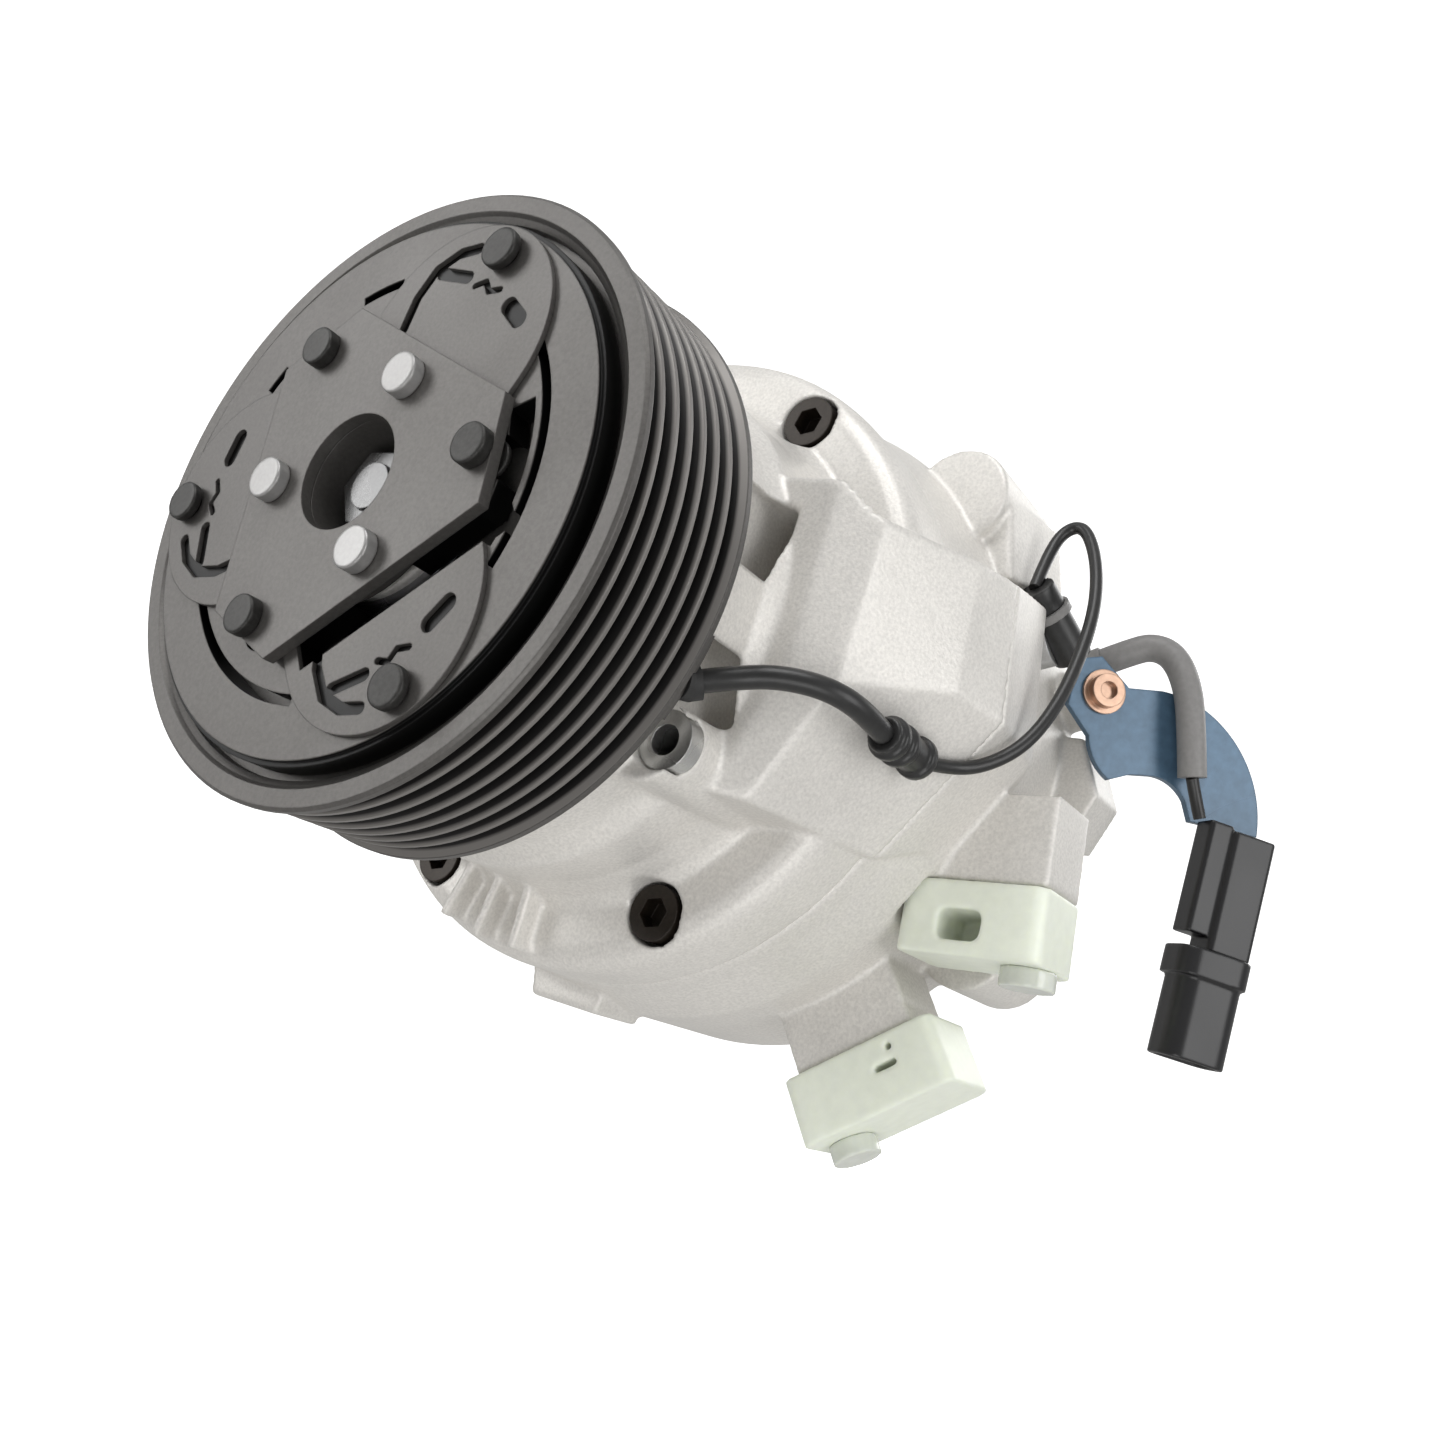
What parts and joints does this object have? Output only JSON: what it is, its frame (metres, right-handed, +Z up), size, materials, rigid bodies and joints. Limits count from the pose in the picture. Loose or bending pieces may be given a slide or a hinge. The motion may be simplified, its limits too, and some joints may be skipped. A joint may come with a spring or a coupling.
{
  "type": "automotive ac compressor",
  "caption": "Car air-conditioning scroll compressor with a grooved belt pulley, electromagnetic clutch, cast aluminium housing, capped ports, thermal switch and wired connector.",
  "frame": {"origin": "centre of the pulley's groove band, on the shaft's axis", "axes": "+Y runs along the shaft from the pulley to the rear cover, +Z is up, +X points to the side with the cast block and the connector"},
  "size_m": [0.1703, 0.1592, 0.1464],
  "materials": {
    "cast_aluminium": "sand-cast, matt, light grey",
    "black_steel": "dark warm grey coating, satin",
    "dark_rivet": "dark phosphate, satin",
    "bright_rivet": "zinc plated, bright",
    "black_bolt": "black oxide, satin",
    "bearing_steel": "ground",
    "spring_steel": "blued",
    "machined_steel": "turned",
    "scroll_aluminium": "machined",
    "copper_winding": "enamelled copper wire",
    "potting_resin": "cast resin",
    "seal_rubber": "matt",
    "lead_rubber": "smooth sleeve, slightly glossy",
    "grey_rubber": "matt sleeve",
    "switch_can": "pressed can",
    "blue_bracket": "blue passivated zinc, satin",
    "gold_screw": "copper-yellow plating",
    "connector_plastic": "moulded, satin",
    "pin_metal": "tinned",
    "cap_plastic": "pale greenish white, waxy",
    "clear_screw": "pale, slightly see-through"
  },
  "bodies": {
    "housing": {"front_housing": "cast_aluminium", "rear_housing": "cast_aluminium", "housing_bolts": "black_bolt", "seam_o_ring": "seal_rubber", "steel_sleeve": "bearing_steel", "coil_housing": "black_steel", "coil_winding": "copper_winding", "coil_potting": "potting_resin", "coil_lead_grommet": "seal_rubber", "coil_lead": "lead_rubber", "lead_splice": "lead_rubber", "switch_lead": "lead_rubber", "switch_boot": "lead_rubber", "switch_boot_ring": "grey_rubber", "thermal_switch": "switch_can", "connector_bracket": "blue_bracket", "bracket_screw": "gold_screw", "connector_clip": "connector_plastic", "connector_housing": "connector_plastic", "connector_shell": "connector_plastic", "connector_pins": "pin_metal", "connector_sheath": "grey_rubber", "connector_wire": "lead_rubber", "sheath_end": "grey_rubber", "pulley_bearing_inner": "bearing_steel", "pulley_bearing_balls": "bearing_steel", "pulley_snap_ring": "spring_steel", "front_needle_bearing": "bearing_steel", "main_bearing_outer": "bearing_steel", "main_bearing_balls": "bearing_steel", "shaft_seal": "seal_rubber", "seal_snap_ring": "spring_steel", "fixed_scroll": "scroll_aluminium", "thrust_plate": "machined_steel", "anti_rotation_rings": "machined_steel", "discharge_reed": "spring_steel", "reed_retainer": "machined_steel", "reed_screw": "machined_steel"},
    "pulley": {"pulley": "black_steel", "pulley_bearing_outer": "bearing_steel"},
    "shaft": {"crankshaft": "machined_steel", "main_bearing_inner": "bearing_steel", "balance_weight": "machined_steel", "drive_bush": "machined_steel", "hub_boss": "black_steel", "hub_plate": "black_steel", "hub_rivets": "bright_rivet", "spring_rivets": "dark_rivet", "spring_sheet": "black_steel", "shaft_nut": "bright_rivet", "shaft_washer": "bright_rivet"},
    "armature": {"armature_disc": "black_steel", "armature_rivets": "dark_rivet"},
    "orbiter": {"orbiting_scroll": "scroll_aluminium", "orbit_bearing": "bearing_steel"},
    "cap_a": {"port_cap_a": "cap_plastic", "cap_screw_a": "clear_screw"},
    "cap_b": {"port_cap_b": "cap_plastic", "cap_screw_b": "clear_screw"}
  },
  "joints": [
    {"name": "pulley_spin", "type": "hinge", "parent": "housing", "child": "pulley", "pos_m": [0, 0, 0], "axis": [0, 1, 0], "continuous": true},
    {"name": "shaft_spin", "type": "hinge", "parent": "housing", "child": "shaft", "pos_m": [0, 0, 0], "axis": [0, 1, 0], "continuous": true},
    {"name": "armature_engage", "type": "slide", "parent": "shaft", "child": "armature", "axis": [0, 1, 0], "range_m": [0, 0.00045], "stiffness_N_per_m": 2000},
    {"name": "scroll_orbit", "type": "hinge", "parent": "shaft", "child": "orbiter", "pos_m": [0.00405, 0.06604, 0], "axis": [0, 1, 0], "continuous": true},
    {"name": "cap_a_off", "type": "slide", "parent": "housing", "child": "cap_a", "axis": [0.1191, 0, -0.9929], "range_m": [0, 0.008]},
    {"name": "cap_b_off", "type": "slide", "parent": "housing", "child": "cap_b", "axis": [0.6222, 0, -0.7828], "range_m": [0, 0.014]}
  ],
  "couplings": [
    {"joint": "scroll_orbit", "follows": "shaft_spin", "ratio": -1}
  ]
}
